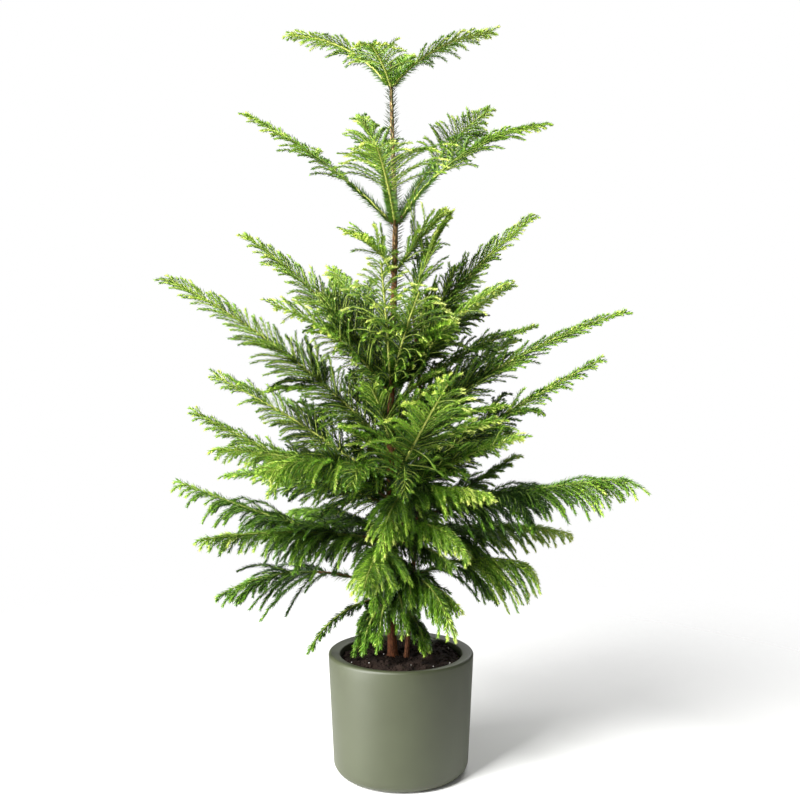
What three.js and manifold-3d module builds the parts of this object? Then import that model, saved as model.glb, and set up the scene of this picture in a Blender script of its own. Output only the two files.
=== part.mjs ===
// Norfolk Island pine in a round pot, millimetres, +Z up.
// The origin is the centre of the pot's flat underside.
// A whorled conifer: one straight trunk, a thin second stem from the same root,
// boughs in tiers round the trunk, and flat fronds of toothed needle sprays.

import * as THREE from 'three';
import { mergeVertices } from 'three/addons/utils/BufferGeometryUtils.js';
import Module from 'manifold-3d';

const wasm = await Module();
wasm.setup();

// Pot: a round planter that narrows a little to a rounded foot
const potHeight = 200;
const rimRadius = 125;
const rimWidth = 20;
const rimFall = 3;
const lipRound = 5;
const footRadius = 116;
const footRound = 16;
const wallThickness = 18;
const floorThickness = 16;
const potSegments = 40;
const innerTop = rimRadius - rimWidth;
const innerFoot = footRadius - wallThickness;

// Soil: a filled pot, level a little below the rim
const soilLevel = 188;
const soilEdgeLevel = 185;

// Gap that neighbouring pieces keep, and the bark's slack under a limb's root
const clearance = 0.3;
const barkSlack = 0.1;

// Trunk: sideways lean and radius against height above the pot's underside
const trunkSides = 10;
const trunkCourse = [
  { height: soilLevel + clearance, lean: -14, radius: 11.5 },
  { height: 197, lean: -14.4, radius: 8.8 },
  { height: 225, lean: -15.5, radius: 7.6 },
  { height: 365, lean: -20, radius: 7.1 },
  { height: 500, lean: -19, radius: 6.6 },
  { height: 655, lean: -17, radius: 5.9 },
  { height: 800, lean: -12.5, radius: 5.2 },
  { height: 940, lean: -9.5, radius: 4.6 },
  { height: 1060, lean: -14, radius: 3.8 },
  { height: 1177, lean: -17, radius: 3 },
  { height: 1222, lean: -17, radius: 1.2 },
];

// Second stem: thinner, leaning out to the right from the same root
const stemSides = 6;
const stemCourse = [
  { height: soilLevel + clearance, lean: 9, depth: -10, radius: 5.6 },
  { height: 200, lean: 10, depth: -11, radius: 4.2 },
  { height: 330, lean: 20, depth: -15, radius: 3.9 },
  { height: 410, lean: 26, depth: -4, radius: 3.7 },
  { height: 515, lean: 34, depth: 6, radius: 3.5 },
  { height: 617, lean: 36, depth: 12, radius: 3.2 },
  { height: 700, lean: 30, depth: 2, radius: 2.8 },
  { height: 800, lean: 18, depth: -10, radius: 2 },
];

// Limbs: girth where they leave the trunk, at the start of the foliage and at the tip
const boughSides = 6;
const boughRootRadius = 3.4;
const boughEndRadius = 2.5;
const rachisSides = 3;
const rachisRootRadius = 2.4;
const rachisTipRadius = 1.1;
const rachisSteps = 5;
const boughSteps = 4;

// Sprays: toothed blades in pairs along each frond, degrees for their angles.
// The longest stand a third of the way out, on limbs of the full length or more.
const sprayPitch = 84;
const fewestPairs = 2;
const mostPairs = 5;
const sprayLength = 96;
const sprayHalfWidth = 24;
const sprayThickness = 2.4;
const sprayRootHalf = 0.6;
const fullLimb = 330;
const shortLimbShare = 0.5;
const longLimbShare = 1.05;
const sprayForward = 50;
const tipForward = 26;
const forwardSpread = 10;
const foliageStart = 0.05;
const foliageEnd = 0.93;
const bulgeStart = 0.3;
const bulgeEnd = 0.92;
const rootSpread = 0.16;
const pairStagger = 0.08;
const lengthSpread = 0.2;
const sagSpread = 0.6;
const endSprayStart = 0.9;
const endSprayShare = 0.12;
const endSprayForward = 4;
const narrowestShare = 0.6;

// Room that a spray keeps to other sprays and to limbs
const sprayClearance = 9;
const limbClearance = 5;
const limbSampleStep = 6;
const firstSeed = 101;

// A limb turns evenly from its rise at the trunk to its rise at the tip, degrees.
// roll turns its frond about the limb: above zero, the side to its right stands higher.
// up moves its root along the trunk, bare is the share of it that is a bare bough.
const limb = (bearing, length, rise, tipRise, roll = 0, up = 0, bare = 0) => (
  { bearing, length, rise, tipRise, roll, up, bare }
);

// Tiers from the top down. sag pulls the sprays downward, more in the lower tiers.
const tiers = [
  {
    name: 'top',
    height: 1177,
    sag: 0.12,
    limbs: [
      limb(180, 216, 54, 1, -20),
      limb(0, 216, 52, 6, 20),
      limb(256, 146, 23, -4),
      limb(72, 154, 54, 30),
    ],
  },
  {
    name: 'upper',
    height: 938,
    sag: 0.08,
    limbs: [
      limb(180, 330, 47, 27, 30),
      limb(0, 332, 61, 8, -30),
      limb(42, 362, 58, 35, -58, 4),
      limb(263, 242, 31, 6, 1),
      limb(110, 320, 65, 41, 0, 2),
    ],
  },
  {
    name: 'spur',
    height: 855,
    sag: 0.1,
    limbs: [
      limb(228, 118, 52, 6, 20),
      limb(340, 134, 54, 40, -10, 5),
    ],
  },
  {
    name: 'middle',
    height: 654,
    sag: 0.12,
    limbs: [
      limb(180, 376, 60, 34, 35),
      limb(8, 400, 62, 38, -35, 10),
      limb(42, 390, 45, 22, -20),
      limb(329, 286, 53, 24, -25),
      limb(285, 236, 50, 30, 0, 6),
      limb(216, 282, 50, 13, 42, -7),
      limb(122, 330, 59, 34, 15, 8),
      limb(265, 268, 62, 40, 0, -2),
    ],
  },
  {
    name: 'wide',
    height: 555,
    sag: 0.1,
    limbs: [
      limb(181, 488, 47, 28, 45),
      limb(354, 476, 45, 17, -35, -8),
      limb(40, 394, 45, 21, -20, -7),
      limb(100, 354, 45, 20),
    ],
  },
  {
    name: 'lower',
    height: 480,
    sag: 0.14,
    limbs: [
      limb(175, 374, 38, 26, 40, 6),
      limb(349, 426, 36, 28, -35, 2),
      limb(290, 322, 38, 33),
      limb(190, 376, 24, 29, 35, -28),
      limb(216, 340, 30, 3, 25, -14),
      limb(234, 328, 34, -14, 10, -4),
      limb(150, 378, 16, -8, 15, -18),
      limb(18, 264, 37, 12, -25, -8),
      limb(327, 284, 38, 13, -20, -22),
      limb(85, 334, 35, 5),
    ],
  },
  {
    name: 'low',
    height: 390,
    sag: 0.5,
    limbs: [
      limb(178, 392, 13, 22, 30, -14, 0.18),
      limb(214, 352, 14, -3, 20, 0),
      limb(337, 414, 22, 6, -25, 24, 0.16),
      limb(318, 232, 40, -10, 0, 42),
      limb(14, 348, 17, -14, -20, -8),
      limb(262, 260, 16, -24, 0, -14),
      limb(306, 228, 40, -40, 0, 4),
      limb(75, 334, 15, -12),
      limb(128, 344, 16, -12, 0, 6),
    ],
  },
  {
    name: 'base',
    height: 304,
    sag: 0.8,
    limbs: [
      limb(183, 314, 27, -29, 10, 0, 0.22),
      limb(357, 258, 38, -14, -10),
      limb(299, 224, 46, -56, 0, 2),
      limb(95, 266, 15, -25),
      limb(202, 182, 4, -60, 0, -14),
    ],
  },
];

// Tiers of the second stem
const stemTiers = [
  {
    name: 'second',
    height: 797,
    sag: 0.1,
    limbs: [
      limb(350, 176, 78, 56, -20),
    ],
  },
  {
    name: 'side',
    height: 660,
    sag: 0.12,
    limbs: [
      limb(5, 236, 42, 12, -20),
      limb(287, 190, 40, 8, 0, 24),
      limb(330, 180, 34, 6, -10, -92),
    ],
  },
  {
    name: 'fore',
    height: 462,
    sag: 0.4,
    limbs: [
      limb(250, 234, 30, -70),
      limb(10, 208, 22, 34, -20, -20),
    ],
  },
];

const up = new THREE.Vector3(0, 0, 1);
const { degToRad: radians, lerp: mix, clamp } = THREE.MathUtils;

const materials = {
  pot: new THREE.MeshStandardMaterial({ color: 0x6e735c, roughness: 0.62, metalness: 0 }),
  soil: new THREE.MeshStandardMaterial({ color: 0x2f271f, roughness: 0.95, metalness: 0 }),
  bark: new THREE.MeshStandardMaterial({ color: 0x6b4a33, roughness: 0.85, metalness: 0 }),
  twig: new THREE.MeshStandardMaterial({ color: 0x7a5b3c, roughness: 0.8, metalness: 0 }),
  needle: new THREE.MeshStandardMaterial({ color: 0x4a6b2c, roughness: 0.6, metalness: 0 }),
};

const plant = new THREE.Group();

function addPiece(name, geometry, material) {
  const mesh = new THREE.Mesh(geometry, material);
  mesh.name = name;
  plant.add(mesh);
}

// Repeatable random numbers from 0 to 1
function seededRandom(seed) {
  let state = seed;
  return () => {
    state = (state + 0x6d2b79f5) | 0;
    let mixed = Math.imul(state ^ (state >>> 15), 1 | state);
    mixed = (mixed + Math.imul(mixed ^ (mixed >>> 7), 61 | mixed)) ^ mixed;
    return ((mixed ^ (mixed >>> 14)) >>> 0) / 4294967296;
  };
}

// Closed skin over rings of equal count, ended by a flat cap or drawn to a point
function loft(rings, point = null) {
  const sides = rings[0].length;
  const positions = rings.flat().flatMap((corner) => corner.toArray());
  const faces = [];
  for (let ring = 0; ring < rings.length - 1; ring += 1) {
    for (let side = 0; side < sides; side += 1) {
      const next = (side + 1) % sides;
      const near = ring * sides;
      const far = near + sides;
      faces.push(near + side, near + next, far + next, near + side, far + next, far + side);
    }
  }
  for (let side = 1; side < sides - 1; side += 1) {
    faces.push(0, side + 1, side);
  }
  const last = (rings.length - 1) * sides;
  if (point) {
    positions.push(...point.toArray());
    const apex = rings.length * sides;
    for (let side = 0; side < sides; side += 1) {
      faces.push(last + side, last + ((side + 1) % sides), apex);
    }
  } else {
    for (let side = 1; side < sides - 1; side += 1) {
      faces.push(last, last + side, last + side + 1);
    }
  }
  const geometry = new THREE.BufferGeometry();
  geometry.setAttribute('position', new THREE.Float32BufferAttribute(positions, 3));
  geometry.setIndex(faces);
  return geometry;
}

// Ring of corners square to a direction, the first corner on top
function ringAt(center, direction, radius, sides) {
  const across = new THREE.Vector3().crossVectors(direction, up);
  if (across.lengthSq() < 1e-6) {
    across.set(1, 0, 0);
  }
  across.normalize();
  const over = new THREE.Vector3().crossVectors(across, direction).normalize();
  const ring = [];
  for (let side = 0; side < sides; side += 1) {
    const turn = (2 * Math.PI * side) / sides;
    ring.push(center.clone()
      .addScaledVector(over, radius * Math.cos(turn))
      .addScaledVector(across, radius * Math.sin(turn)));
  }
  return ring;
}

// Level ring, for the upright stems
function levelRing(center, radius, sides) {
  const ring = [];
  for (let side = 0; side < sides; side += 1) {
    const turn = (2 * Math.PI * side) / sides;
    ring.push(new THREE.Vector3(
      center.x + radius * Math.cos(turn),
      center.y + radius * Math.sin(turn),
      center.z,
    ));
  }
  return ring;
}

// Centre and radius of an upright stem at a height
function stemAt(course, height) {
  let index = 0;
  while (index < course.length - 2 && course[index + 1].height < height) {
    index += 1;
  }
  const below = course[index];
  const above = course[index + 1];
  const share = (height - below.height) / (above.height - below.height);
  return {
    center: new THREE.Vector3(
      mix(below.lean, above.lean, share),
      mix(below.depth ?? 0, above.depth ?? 0, share),
      height,
    ),
    radius: mix(below.radius, above.radius, share),
  };
}

function uprightStem(course, sides) {
  return loft(course.map((station) => {
    const center = new THREE.Vector3(station.lean, station.depth ?? 0, station.height);
    return levelRing(center, station.radius, sides);
  }));
}

// Points of a quarter round in a lathe profile
function quarterRound(center, radius, start, steps) {
  const points = [];
  for (let step = 0; step <= steps; step += 1) {
    const turn = radians(start + (90 * step) / steps);
    points.push(new THREE.Vector2(
      center.x + radius * Math.cos(turn),
      center.y + radius * Math.sin(turn),
    ));
  }
  return points;
}

function lathe(profile) {
  const geometry = new THREE.LatheGeometry(profile, potSegments);
  geometry.rotateX(Math.PI / 2);
  return geometry;
}

function potGeometry() {
  const roundSteps = 4;
  const profile = [
    new THREE.Vector2(0, 0),
    ...quarterRound({ x: footRadius - footRound, y: footRound }, footRound, -90, roundSteps),
    ...quarterRound({ x: rimRadius - lipRound, y: potHeight - lipRound }, lipRound, 0, roundSteps - 1),
    new THREE.Vector2(innerTop, potHeight - rimFall),
    new THREE.Vector2(innerFoot, floorThickness),
    new THREE.Vector2(0, floorThickness),
  ];
  return lathe(profile);
}

// Inner radius of the pot's wall at a height
function innerRadius(height) {
  const share = (height - floorThickness) / (potHeight - rimFall - floorThickness);
  return mix(innerFoot, innerTop, share);
}

function soilGeometry() {
  const foot = floorThickness + clearance;
  const levelShare = 0.6;
  const profile = [
    new THREE.Vector2(0, foot),
    new THREE.Vector2(innerRadius(foot) - clearance, foot),
    new THREE.Vector2(innerRadius(soilEdgeLevel) - clearance, soilEdgeLevel),
    new THREE.Vector2(innerRadius(soilEdgeLevel) * levelShare, soilLevel),
    new THREE.Vector2(0, soilLevel),
  ];
  return lathe(profile);
}

// Course of a limb: a function from its share of length to a point and a direction
function limbCourse(row, tier, course) {
  const root = stemAt(course, tier.height + row.up);
  const bearing = radians(row.bearing);
  const outward = new THREE.Vector3(Math.cos(bearing), Math.sin(bearing), 0);
  const start = root.center.clone().addScaledVector(outward, root.radius + clearance + barkSlack);
  const directionAt = (share) => {
    const rise = radians(mix(row.rise, row.tipRise, share));
    return outward.clone().multiplyScalar(Math.cos(rise)).addScaledVector(up, Math.sin(rise));
  };
  const slices = 40;
  const points = [start];
  for (let slice = 0; slice < slices; slice += 1) {
    const step = directionAt((slice + 0.5) / slices).multiplyScalar(row.length / slices);
    points.push(points[slice].clone().add(step));
  }
  const pointAt = (share) => {
    const place = clamp(share, 0, 1) * slices;
    const slice = Math.min(Math.floor(place), slices - 1);
    return points[slice].clone().lerp(points[slice + 1], place - slice);
  };
  return { pointAt, directionAt, outward, root };
}

// Tapering limb between two shares of a course.
// A limb that leaves a stem has its first ring upright, to lie along the bark.
function taperedLimb(course, from, to, rootRadius, tipRadius, sides, steps) {
  const rings = [];
  for (let step = 0; step <= steps; step += 1) {
    const share = mix(from, to, step / steps);
    const direction = share === 0 ? course.outward : course.directionAt(share);
    const radius = mix(rootRadius, tipRadius, step / steps);
    rings.push(ringAt(course.pointAt(share), direction, radius, sides));
  }
  return loft(rings);
}

// Toothed blade: triangular sections, broad at the teeth and narrow between them
const bladeStations = [
  { along: 0.36, wide: 1, sweep: 0.16 },
  { along: 0.52, wide: 0.72, sweep: 0.06 },
];

function blade(spray) {
  const { root, direction, across, normal, length, halfWidth } = spray;
  const section = (along, wide, sweep, thick) => {
    const center = root.clone().addScaledVector(direction, along * length);
    const edge = center.clone().addScaledVector(direction, sweep * length);
    return [
      center.clone().addScaledVector(normal, thick * 0.5),
      edge.clone().addScaledVector(across, wide).addScaledVector(normal, -thick * 0.5),
      edge.clone().addScaledVector(across, -wide).addScaledVector(normal, -thick * 0.5),
    ];
  };
  const rings = [section(0, sprayRootHalf, 0, sprayRootHalf)];
  for (const station of bladeStations) {
    rings.push(section(station.along, station.wide * halfWidth, station.sweep, sprayThickness));
  }
  return loft(rings, root.clone().addScaledVector(direction, length));
}

// Points spread over a blade, to test for neighbours
function bladeSamples(spray) {
  const samples = [];
  const rows = 8;
  for (let row = 2; row <= rows; row += 1) {
    const center = spray.root.clone().addScaledVector(spray.direction, (spray.length * row) / rows);
    samples.push(center);
    if (row < rows) {
      samples.push(center.clone().addScaledVector(spray.across, spray.halfWidth * 0.7));
      samples.push(center.clone().addScaledVector(spray.across, -spray.halfWidth * 0.7));
    }
  }
  return samples;
}

// One spray: it leaves the limb at an angle to one side, turned by roll and pulled by sag
function sprayAt(growth, share, side, forward, length, sag) {
  const { course, row } = growth;
  const roll = radians(row.roll);
  const along = course.directionAt(share);
  const level = new THREE.Vector3().crossVectors(along, up).normalize();
  const above = new THREE.Vector3().crossVectors(level, along);
  const outward = level.multiplyScalar(Math.cos(roll)).addScaledVector(above, Math.sin(roll));
  const direction = along.clone().multiplyScalar(Math.cos(forward))
    .addScaledVector(outward, side * Math.sin(forward))
    .addScaledVector(up, -sag)
    .normalize();
  const across = along.clone().addScaledVector(direction, -along.dot(direction)).normalize();
  return {
    root: course.pointAt(share),
    direction,
    across,
    normal: new THREE.Vector3().crossVectors(across, direction),
    length,
    halfWidth: sprayHalfWidth * clamp(length / sprayLength, narrowestShare, 1),
  };
}

// Sprays of one frond in pairs by a seeded rule, with one at the tip
function frondSprays(growth, random) {
  const { row, tier } = growth;
  const leafy = 1 - row.bare;
  const spread = (width) => width * (random() - 0.5);
  const pairs = clamp(Math.round((leafy * row.length) / sprayPitch), fewestPairs, mostPairs);
  const reach = sprayLength * clamp(row.length / fullLimb, shortLimbShare, longLimbShare);
  const sprays = [];
  for (let pair = 0; pair < pairs; pair += 1) {
    const along = mix(foliageStart, foliageEnd, (pair + 0.4) / pairs);
    const bulge = Math.sin(Math.PI * mix(bulgeStart, bulgeEnd, along));
    for (const side of [-1, 1]) {
      const place = along + (spread(rootSpread) + pairStagger * side) / pairs;
      const forward = radians(mix(sprayForward, tipForward, along) + spread(forwardSpread));
      const sag = tier.sag * (1 + spread(sagSpread));
      const length = reach * bulge * (1 + spread(lengthSpread));
      sprays.push(sprayAt(growth, row.bare + leafy * place, side, forward, length, sag));
    }
  }
  const endLength = row.length * (1 - endSprayStart) + reach * endSprayShare;
  sprays.push(sprayAt(growth, endSprayStart, 1, radians(endSprayForward), endLength, 0));
  return sprays;
}

function toSolid(geometry) {
  const bare = geometry.clone();
  bare.deleteAttribute('normal');
  bare.deleteAttribute('uv');
  const merged = mergeVertices(bare, 1e-4);
  return new wasm.Manifold(new wasm.Mesh({
    numProp: 3,
    vertProperties: new Float32Array(merged.attributes.position.array),
    triVerts: new Uint32Array(merged.index.array),
  }));
}

// Largest body of a joined solid, which drops loose scraps and fills sealed hollows
function toGeometry(solid) {
  const bodies = solid.decompose().sort((one, other) => other.volume() - one.volume());
  const mesh = bodies[0].getMesh();
  const geometry = new THREE.BufferGeometry();
  geometry.setAttribute('position', new THREE.Float32BufferAttribute(mesh.vertProperties, 3));
  geometry.setIndex([...mesh.triVerts]);
  geometry.computeVertexNormals();
  return geometry;
}

// Every limb first, so that the sprays can keep clear of all of them
const growths = [];
const rooted = [
  ...tiers.map((tier) => [tier, trunkCourse]),
  ...stemTiers.map((tier) => [tier, stemCourse]),
];
for (const [tier, course] of rooted) {
  tier.limbs.forEach((row, index) => {
    growths.push({
      name: `${tier.name}_${index + 1}`,
      row,
      tier,
      course: limbCourse(row, tier, course),
    });
  });
}

// Points along every limb and both stems, each with the room that it takes
const limbSamples = [];
for (const growth of growths) {
  const steps = Math.round(growth.row.length / limbSampleStep);
  for (let step = 0; step <= steps; step += 1) {
    limbSamples.push({ point: growth.course.pointAt(step / steps), owner: growth, room: limbClearance });
  }
}
for (const course of [trunkCourse, stemCourse]) {
  for (let height = soilLevel; height < course.at(-1).height; height += limbSampleStep) {
    const { center, radius } = stemAt(course, height);
    limbSamples.push({ point: center, owner: null, room: radius + limbClearance });
  }
}

// A spray that would come near a limb, the pot or another frond's spray is left out
const placedSamples = [];
function hasRoom(samples, owner) {
  const potReach = rimRadius + sprayClearance;
  for (const sample of samples) {
    if (sample.z < potHeight + sprayClearance && Math.hypot(sample.x, sample.y) < potReach) {
      return false;
    }
    for (const other of limbSamples) {
      const room = other.room + limbClearance;
      if (other.owner !== owner && sample.distanceToSquared(other.point) < room * room) {
        return false;
      }
    }
    for (const other of placedSamples) {
      const near = sprayClearance * sprayClearance;
      if (other.owner !== owner && sample.distanceToSquared(other.point) < near) {
        return false;
      }
    }
  }
  return true;
}

growths.forEach((growth, index) => {
  const random = seededRandom(firstSeed + index);
  growth.kept = [];
  for (const spray of frondSprays(growth, random)) {
    const samples = bladeSamples(spray);
    if (hasRoom(samples, growth)) {
      growth.kept.push(spray);
      for (const point of samples) {
        placedSamples.push({ point, owner: growth });
      }
    }
  }
});

function frondGeometry(growth) {
  const { course, row, kept } = growth;
  const start = row.bare === 0 ? 0 : row.bare + clearance / row.length;
  const rachis = taperedLimb(course, start, 1, rachisRootRadius, rachisTipRadius, rachisSides, rachisSteps);
  let solid = toSolid(rachis);
  for (const spray of kept) {
    solid = solid.add(toSolid(blade(spray)));
  }
  return toGeometry(solid);
}

addPiece('pot', potGeometry(), materials.pot);
addPiece('soil', soilGeometry(), materials.soil);
addPiece('trunk', uprightStem(trunkCourse, trunkSides), materials.bark);
addPiece('second_stem', uprightStem(stemCourse, stemSides), materials.bark);
for (const growth of growths) {
  if (growth.row.bare > 0) {
    const bough = taperedLimb(
      growth.course, 0, growth.row.bare, boughRootRadius, boughEndRadius, boughSides, boughSteps,
    );
    addPiece(`bough_${growth.name}`, bough, materials.twig);
  }
  addPiece(`frond_${growth.name}`, frondGeometry(growth), materials.needle);
}

export default plant;
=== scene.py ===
import math

import bpy
import numpy as np
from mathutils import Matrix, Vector


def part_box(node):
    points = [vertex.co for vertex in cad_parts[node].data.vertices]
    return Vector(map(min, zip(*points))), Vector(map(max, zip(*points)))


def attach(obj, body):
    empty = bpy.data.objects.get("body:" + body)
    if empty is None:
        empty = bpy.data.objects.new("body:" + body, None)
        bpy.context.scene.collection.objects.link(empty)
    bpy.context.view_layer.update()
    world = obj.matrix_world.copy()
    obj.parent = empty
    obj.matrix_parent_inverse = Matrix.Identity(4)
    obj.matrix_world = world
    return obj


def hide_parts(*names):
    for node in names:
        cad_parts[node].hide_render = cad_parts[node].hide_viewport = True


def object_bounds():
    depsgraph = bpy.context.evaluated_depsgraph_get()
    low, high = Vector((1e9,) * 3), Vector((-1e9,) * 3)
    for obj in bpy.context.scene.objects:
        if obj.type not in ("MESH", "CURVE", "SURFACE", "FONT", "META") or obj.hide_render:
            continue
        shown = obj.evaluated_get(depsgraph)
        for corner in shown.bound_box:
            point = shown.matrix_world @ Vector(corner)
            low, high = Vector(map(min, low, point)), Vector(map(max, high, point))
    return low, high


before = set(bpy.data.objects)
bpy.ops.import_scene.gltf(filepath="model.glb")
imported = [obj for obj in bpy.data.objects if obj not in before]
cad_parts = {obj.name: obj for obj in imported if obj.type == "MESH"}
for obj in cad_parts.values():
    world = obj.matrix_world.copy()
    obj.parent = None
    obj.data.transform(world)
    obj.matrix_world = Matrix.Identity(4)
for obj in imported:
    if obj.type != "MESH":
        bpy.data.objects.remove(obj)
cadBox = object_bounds()
frondNodes = [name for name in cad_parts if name.startswith("frond_")]
boughNodes = [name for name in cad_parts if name.startswith("bough_")]
print("frame:", len(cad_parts), "nodes,", len(frondNodes), "fronds,", len(boughNodes), "boughs")

mm = 0.001
tiny = 1e-9
worldUp = np.array((0.0, 0.0, 1.0))
goldenAngle = math.pi * (3 - math.sqrt(5))


def paint(red, green, blue):  # screen colour, 0 to 255, as the shader's linear colour
    screen = np.array((red, green, blue)) / 255
    linear = np.where(screen <= 0.04045, screen / 12.92, ((screen + 0.055) / 1.055) ** 2.4)
    return (*linear.tolist(), 1.0)


def mix(start, end, share):
    return start + (end - start) * share


def turnsOf(sides):  # angles of corners all the way round
    return np.arange(sides) * 2 * math.pi / sides


def unit(vectors):
    return vectors / np.maximum(np.linalg.norm(vectors, axis=-1, keepdims=True), tiny)


def addNode(tree, kind, **values):
    node = tree.nodes.new(kind)
    for name, value in values.items():
        if hasattr(node, name):
            setattr(node, name, value)
        else:
            node.inputs[name].default_value = value
    return node


# camera and light

cameraSet = {
    "place": (-0.0017, -1.490, 0.633),  # level, square on to the pot
    "lens": 38.7,
    "sensor": 36.0,
}

lightSet = {
    "aim": (0.0, 0.0, 0.62),
    "lamps": {  # place, size and power
        "key": ((-1.9, -1.9, 2.6), 1.3, 238),
        "fill": ((2.5, -1.6, 0.9), 2.2, 9),
        "back": ((0.9, 2.3, 2.4), 1.8, 48),
        "left": ((-1.6, -0.85, 0.4), 0.9, 62),
    },
    "sky": 0.17,  # strength of the white surround as a light
}


def makeCamera():
    data = bpy.data.cameras.new("camera")
    data.lens = cameraSet["lens"]
    data.sensor_width = cameraSet["sensor"]
    camera = bpy.data.objects.new("camera", data)
    camera.location = cameraSet["place"]
    camera.rotation_euler = (math.radians(90), 0, 0)
    bpy.context.scene.collection.objects.link(camera)
    bpy.context.scene.camera = camera


def makeLamps():
    for name, (place, size, power) in lightSet["lamps"].items():
        data = bpy.data.lights.new(name, "AREA")
        data.size = size
        data.energy = power
        lamp = bpy.data.objects.new(name, data)
        lamp.location = place
        toAim = Vector(lightSet["aim"]) - Vector(place)
        lamp.rotation_euler = toAim.to_track_quat("-Z", "Y").to_euler()
        bpy.context.scene.collection.objects.link(lamp)


def makeSky():  # plain white behind the plant, softer as a light
    world = bpy.data.worlds.new("studio")
    world.use_nodes = True
    tree = world.node_tree
    tree.nodes.clear()
    white = (1, 1, 1, 1)
    output = addNode(tree, "ShaderNodeOutputWorld")
    seen = addNode(tree, "ShaderNodeBackground", Color=white)
    soft = addNode(tree, "ShaderNodeBackground", Color=white, Strength=lightSet["sky"])
    path = addNode(tree, "ShaderNodeLightPath")
    either = addNode(tree, "ShaderNodeMixShader")
    tree.links.new(path.outputs["Is Camera Ray"], either.inputs["Fac"])
    tree.links.new(soft.outputs[0], either.inputs[1])
    tree.links.new(seen.outputs[0], either.inputs[2])
    tree.links.new(either.outputs[0], output.inputs["Surface"])
    bpy.context.scene.world = world


makeCamera()
makeLamps()
makeSky()
bpy.context.scene.view_settings.view_transform = "Standard"
print("camera, light and sky ready")


# meshes from arrays

def arrayMesh(name, points, faceLists, material, smooth=True):
    mesh = bpy.data.meshes.new(name)
    corners = np.concatenate([np.asarray(faces, dtype=np.int32).ravel() for faces in faceLists])
    sides = np.concatenate([np.full(len(faces), faces.shape[1]) for faces in faceLists])
    starts = np.concatenate(([0], np.cumsum(sides)[:-1])).astype(np.int32)
    mesh.vertices.add(len(points))
    mesh.vertices.foreach_set("co", np.asarray(points, dtype=np.float32).ravel())
    mesh.loops.add(len(corners))
    mesh.loops.foreach_set("vertex_index", corners)
    mesh.polygons.add(len(sides))
    mesh.polygons.foreach_set("loop_start", starts)
    mesh.polygons.foreach_set("use_smooth", np.full(len(sides), smooth))
    mesh.update(calc_edges=True)
    mesh.validate()
    mesh.materials.append(material)
    piece = bpy.data.objects.new(name, mesh)
    bpy.context.scene.collection.objects.link(piece)
    return piece


def addPiece(piece, slotName, *nodes):  # every piece rides the one body
    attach(piece, "root")
    if nodes:
        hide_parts(*nodes)


def ringFaces(rings, sides):  # quads between rings of corners that go all the way round
    ring, side = np.meshgrid(np.arange(rings - 1), np.arange(sides), indexing="ij")
    ring, side = ring.ravel(), side.ravel()
    following = (side + 1) % sides
    near, far = ring * sides, (ring + 1) * sides
    return np.stack((near + side, near + following, far + following, far + side), axis=1)


def fanFaces(first, sides, hub, turned=False):  # triangles from a ring to one corner
    side = np.arange(sides)
    edge = (first + side, first + (side + 1) % sides)
    if turned:
        edge = edge[::-1]
    return np.stack((*edge, np.full(sides, hub)), axis=1)


def framesAlong(paths):  # tangent and two square directions at every point of many paths
    tangents = unit(np.gradient(paths, axis=1))
    steep = np.abs(tangents[:, :1, 2:]) > 0.8  # too near upright to be squared off z
    helper = np.where(steep, (1.0, 0.0, 0.0), (0.0, 0.0, 1.0))
    normal = unit(np.cross(tangents[:, 0], helper[:, 0]))
    normals = [normal]
    for step in range(1, paths.shape[1]):
        tangent = tangents[:, step]
        normal = unit(normal - tangent * np.sum(normal * tangent, axis=1, keepdims=True))
        normals.append(normal)
    normals = np.stack(normals, axis=1)
    return tangents, normals, np.cross(tangents, normals)


def tubeArrays(paths, radii, sides):  # tubes as one set of points and faces, radii by path, step and side
    count, steps = paths.shape[:2]
    _, normals, crosses = framesAlong(paths)
    turn = turnsOf(sides)
    rim = normals[:, :, None] * np.cos(turn)[:, None] + crosses[:, :, None] * np.sin(turn)[:, None]
    points = paths[:, :, None] + rim * radii[..., None]
    faces = ringFaces(steps, sides)
    faces = faces[None] + (np.arange(count) * steps * sides)[:, None, None]
    return points.reshape(-1, 3), faces.reshape(-1, 4)


# shader groups and what every finish is built with

def newGroup(name, inputs, outputs):
    group = bpy.data.node_groups.new(name, "ShaderNodeTree")
    for label, value in inputs.items():
        socket = group.interface.new_socket(label, in_out="INPUT", socket_type="NodeSocketFloat")
        socket.default_value = value
    for label in outputs:
        group.interface.new_socket(label, in_out="OUTPUT", socket_type="NodeSocketFloat")
    return group, group.nodes.new("NodeGroupInput"), group.nodes.new("NodeGroupOutput")


def spread(tree, value, fromLow, fromHigh, toLow=0.0, toHigh=1.0):
    limits = {"From Min": fromLow, "From Max": fromHigh, "To Min": toLow, "To Max": toHigh}
    node = addNode(tree, "ShaderNodeMapRange", **limits)
    tree.links.new(value, node.inputs["Value"])
    return node.outputs[0]


def makeSpeckle():  # broad clouds and fine grain, each from 0 to 1
    group, given, result = newGroup("speckle", {"Cloud": 12.0, "Grain": 400.0}, ("Clouds", "Grains"))
    place = group.nodes.new("ShaderNodeTexCoord")
    for label, source, detail in (("Clouds", "Cloud", 3.0), ("Grains", "Grain", 5.0)):
        noise = addNode(group, "ShaderNodeTexNoise", Detail=detail, Roughness=0.6)
        group.links.new(place.outputs["Object"], noise.inputs["Vector"])
        group.links.new(given.outputs[source], noise.inputs["Scale"])
        group.links.new(noise.outputs["Fac"], result.inputs[label])
    return group


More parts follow.
